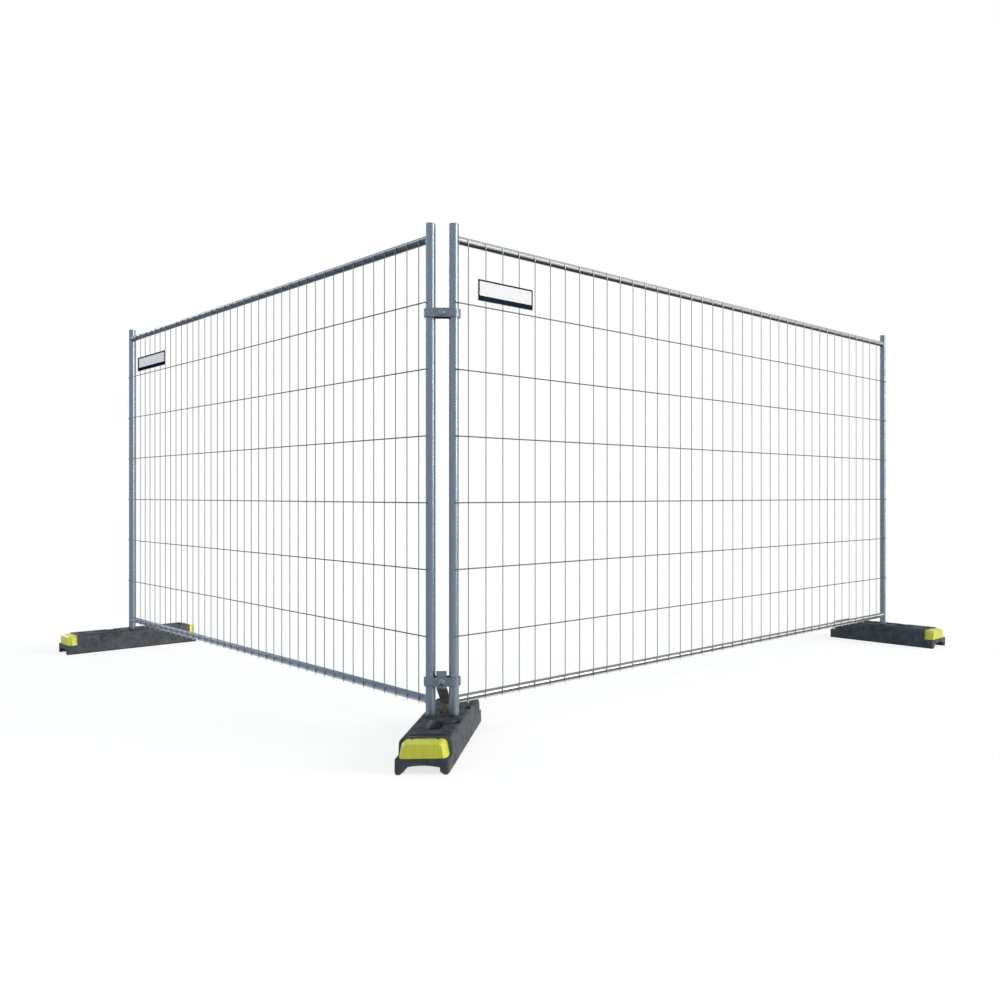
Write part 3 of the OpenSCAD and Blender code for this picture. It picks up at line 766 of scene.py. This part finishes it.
def clamp_bolt(level):
    """A domed square-neck bolt with a rolled thread on its rear end."""
    low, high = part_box(f"{level}_clamp_bolt")
    plate_low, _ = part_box(f"{level}_clamp_front")
    washer_low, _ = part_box(f"{level}_clamp_washer")
    axis = Vector(((low.x + high.x) / 2, 0, (low.z + high.z) / 2))
    head_r = (high.x - low.x) / 2
    seat, crown = plate_low.y, low.y
    rim = seat - HEAD_RIM
    mesh = bmesh.new()
    dome = [(seat, head_r * HEAD_SEAT_SHARE), (seat - HEAD_RIM_EASE, head_r), (rim, head_r)]
    for k in range(1, DOME_STEPS + 1):
        a = math.pi / 2 * k / DOME_STEPS
        dome.append((rim + (crown - rim) * math.sin(a), max(head_r * math.cos(a), DOME_TIP_R)))
    turned(mesh, axis, dome)
    neck = seat + NECK_L
    corners = [(-SHANK_R, -SHANK_R), (SHANK_R, -SHANK_R), (SHANK_R, SHANK_R), (-SHANK_R, SHANK_R)]
    capped_grid(mesh, [[axis + Vector((x, y, z)) for x, z in corners] for y in (seat, neck)])
    thread_start = washer_low.y - THREAD_LEAD
    turned(mesh, axis, [(neck, SHANK_R * SHANK_FIT), (thread_start, SHANK_R * SHANK_FIT)], 32)
    segments, per_turn = 24, 6
    rows = int((high.y - thread_start) / THREAD_PITCH * per_turn)
    rings = []
    for row in range(rows + 1):
        y = thread_start + (high.y - thread_start) * row / rows
        taper = min(1.0, (high.y - y) / THREAD_TAPER)
        ring = []
        for k in range(segments):
            turn = k / segments
            wave = abs(((y / THREAD_PITCH - turn) % 1.0) * 2 - 1)
            radius = SHANK_R - THREAD_DEPTH * (wave if taper == 1.0 else 0.6 + 0.6 * (1 - taper))
            a = 2 * math.pi * turn
            ring.append(axis + Vector((radius * math.cos(a), y, radius * math.sin(a))))
        rings.append(ring)
    capped_grid(mesh, rings)
    shape = piece(f"{level}_clamp_bolt_formed", mesh, "corner_stand", "bolt_zinc")
    sharpen(shape, 40)
    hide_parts(f"{level}_clamp_bolt")


def clamp_nut(level):
    """A hexagon nut with chamfered corners and a countersunk bore."""
    low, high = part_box(f"{level}_clamp_nut")
    axis = Vector(((low.x + high.x) / 2, 0, (low.z + high.z) / 2))
    flat_r = (high.z - low.z) / 2
    face_r = flat_r * NUT_FACE_SHARE
    sink_r = NUT_BORE_R + NUT_SINK
    slope = math.tan(math.radians(NUT_CHAMFER_DEG))
    steps = 72
    profiles = []
    for a in round_turns(steps):
        sector = (math.degrees(a) % 60) - 30
        hex_r = flat_r / math.cos(math.radians(sector))
        drop = (hex_r - face_r) * slope
        turn = a + math.pi / 3
        direction = Vector((math.cos(turn), 0, math.sin(turn)))
        # From the bore over the front face to the side, and over the rear face back to the bore
        profile = (
            (NUT_BORE_R, low.y + NUT_SINK), (sink_r, low.y), (face_r, low.y), (hex_r, low.y + drop),
            (hex_r, high.y - drop), (face_r, high.y), (sink_r, high.y), (NUT_BORE_R, high.y - NUT_SINK),
        )
        profiles.append([axis + direction * radius + Vector((0, y, 0)) for radius, y in profile])
    mesh = bmesh.new()
    grid(mesh, [list(ring) for ring in zip(*profiles)], closed_path=True)
    shape = piece(f"{level}_clamp_nut_formed", mesh, f"{level}_nut", "bolt_zinc")
    sharpen(shape, 20)
    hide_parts(f"{level}_clamp_nut")


# Studio
def light_path_mix(tree, plain, seen):
    """Joins two shaders: one for light on the object, one for what the camera and reflections see."""
    path = tree.nodes.new("ShaderNodeLightPath")
    reach = path.outputs["Is Camera Ray"]
    for name in ("Is Glossy Ray", "Is Transmission Ray"):
        both = tree.nodes.new("ShaderNodeMath")
        both.operation = "MAXIMUM"
        tree.links.new(reach, both.inputs[0])
        tree.links.new(path.outputs[name], both.inputs[1])
        reach = both.outputs[0]
    mixed = tree.nodes.new("ShaderNodeMixShader")
    tree.links.new(reach, mixed.inputs[0])
    tree.links.new(plain, mixed.inputs[1])
    tree.links.new(seen, mixed.inputs[2])
    return mixed.outputs[0]


def make_world():
    """A soft blue sky for the object, and white for the camera and reflections."""
    world = bpy.data.worlds.new("studio")
    bpy.context.scene.world = world
    world.use_nodes = True
    tree = world.node_tree
    tree.nodes.clear()
    soft = tree.nodes.new("ShaderNodeBackground")
    soft.inputs["Color"].default_value = SKY_COLOR
    soft.inputs["Strength"].default_value = SKY_STRENGTH
    white = tree.nodes.new("ShaderNodeBackground")
    white.inputs["Color"].default_value = WHITE
    white.inputs["Strength"].default_value = 1.0
    output = tree.nodes.new("ShaderNodeOutputWorld")
    mixed = light_path_mix(tree, soft.outputs[0], white.outputs[0])
    tree.links.new(mixed, output.inputs["Surface"])


def make_floor():
    """A plain pale floor that keeps the object's shadow."""
    bpy.ops.mesh.primitive_plane_add(size=FLOOR_SIZE, location=(0, 0, -FLOOR_DROP))
    floor = bpy.context.object
    floor.name = "floor"
    material = bpy.data.materials.new("floor")
    material.use_nodes = True
    tree = material.node_tree
    tree.nodes.clear()
    plain = tree.nodes.new("ShaderNodeBsdfDiffuse")
    plain.inputs["Color"].default_value = FLOOR_GREY
    shadowed = tree.nodes.new("ShaderNodeBsdfDiffuse")
    shadowed.inputs["Color"].default_value = FLOOR_SEEN_GREY
    glow = tree.nodes.new("ShaderNodeEmission")
    glow.inputs["Color"].default_value = FLOOR_GLOW
    glow.inputs["Strength"].default_value = FLOOR_GLOW_STRENGTH
    lit = tree.nodes.new("ShaderNodeAddShader")
    tree.links.new(shadowed.outputs[0], lit.inputs[0])
    tree.links.new(glow.outputs[0], lit.inputs[1])
    output = tree.nodes.new("ShaderNodeOutputMaterial")
    mixed = light_path_mix(tree, plain.outputs[0], lit.outputs[0])
    tree.links.new(mixed, output.inputs["Surface"])
    floor.data.materials.append(material)


def add_sun(name, towards, strength, spread_deg, color):
    """A soft lamp that shines from a direction."""
    lamp = bpy.data.lights.new(name, "SUN")
    lamp.energy = strength
    lamp.angle = math.radians(spread_deg)
    lamp.color = color
    holder = bpy.data.objects.new(name, lamp)
    bpy.context.scene.collection.objects.link(holder)
    holder.rotation_mode = "QUATERNION"
    holder.rotation_quaternion = Vector(towards).to_track_quat("Z", "Y")


def make_camera():
    """The photograph's camera, fitted to its posts, rails and wires."""
    data = bpy.data.cameras.new("camera")
    data.sensor_width = SENSOR_MM
    data.lens = FOCAL_PX / IMAGE_PX * SENSOR_MM
    data.shift_x = 0.5 - PRINCIPAL_PX[0] / IMAGE_PX
    data.shift_y = PRINCIPAL_PX[1] / IMAGE_PX - 0.5
    data.clip_end = CAMERA_CLIP_END
    camera = bpy.data.objects.new("camera", data)
    bpy.context.scene.collection.objects.link(camera)
    camera.location = CORNER + CAMERA_OFFSET
    camera.rotation_euler = (math.radians(90), 0, -math.radians(CAMERA_YAW_DEG))
    bpy.context.scene.camera = camera


def main():
    dress_nodes()
    for foot, ends in FEET.items():
        soften(f"{foot}_block", BLOCK_EDGE, 3)
        for end in ends:
            soften(f"{foot}_{end}_cap", CAP_EDGE, 3, 25)
    for level in LEVELS:
        soften(f"{level}_clamp_front", PRESSED_EDGE)
        soften(f"{level}_clamp_rear", PRESSED_EDGE)
        soften(f"{level}_clamp_washer", WASHER_EDGE)
        clamp_bolt(level)
        clamp_nut(level)
    soften("anti_lift_strap", PRESSED_EDGE)
    for panel in PANELS.values():
        soften(f"{panel.side}_sign_plate", SIGN_EDGE)
        wire_welds(panel)
        rail_welds(panel)
        sign_facing(panel)
        cable_ties(panel)
    bpy.context.scene.view_settings.view_transform = "Standard"
    make_world()
    make_floor()
    for name, lamp in LAMPS.items():
        add_sun(name, *lamp)
    make_camera()


main()
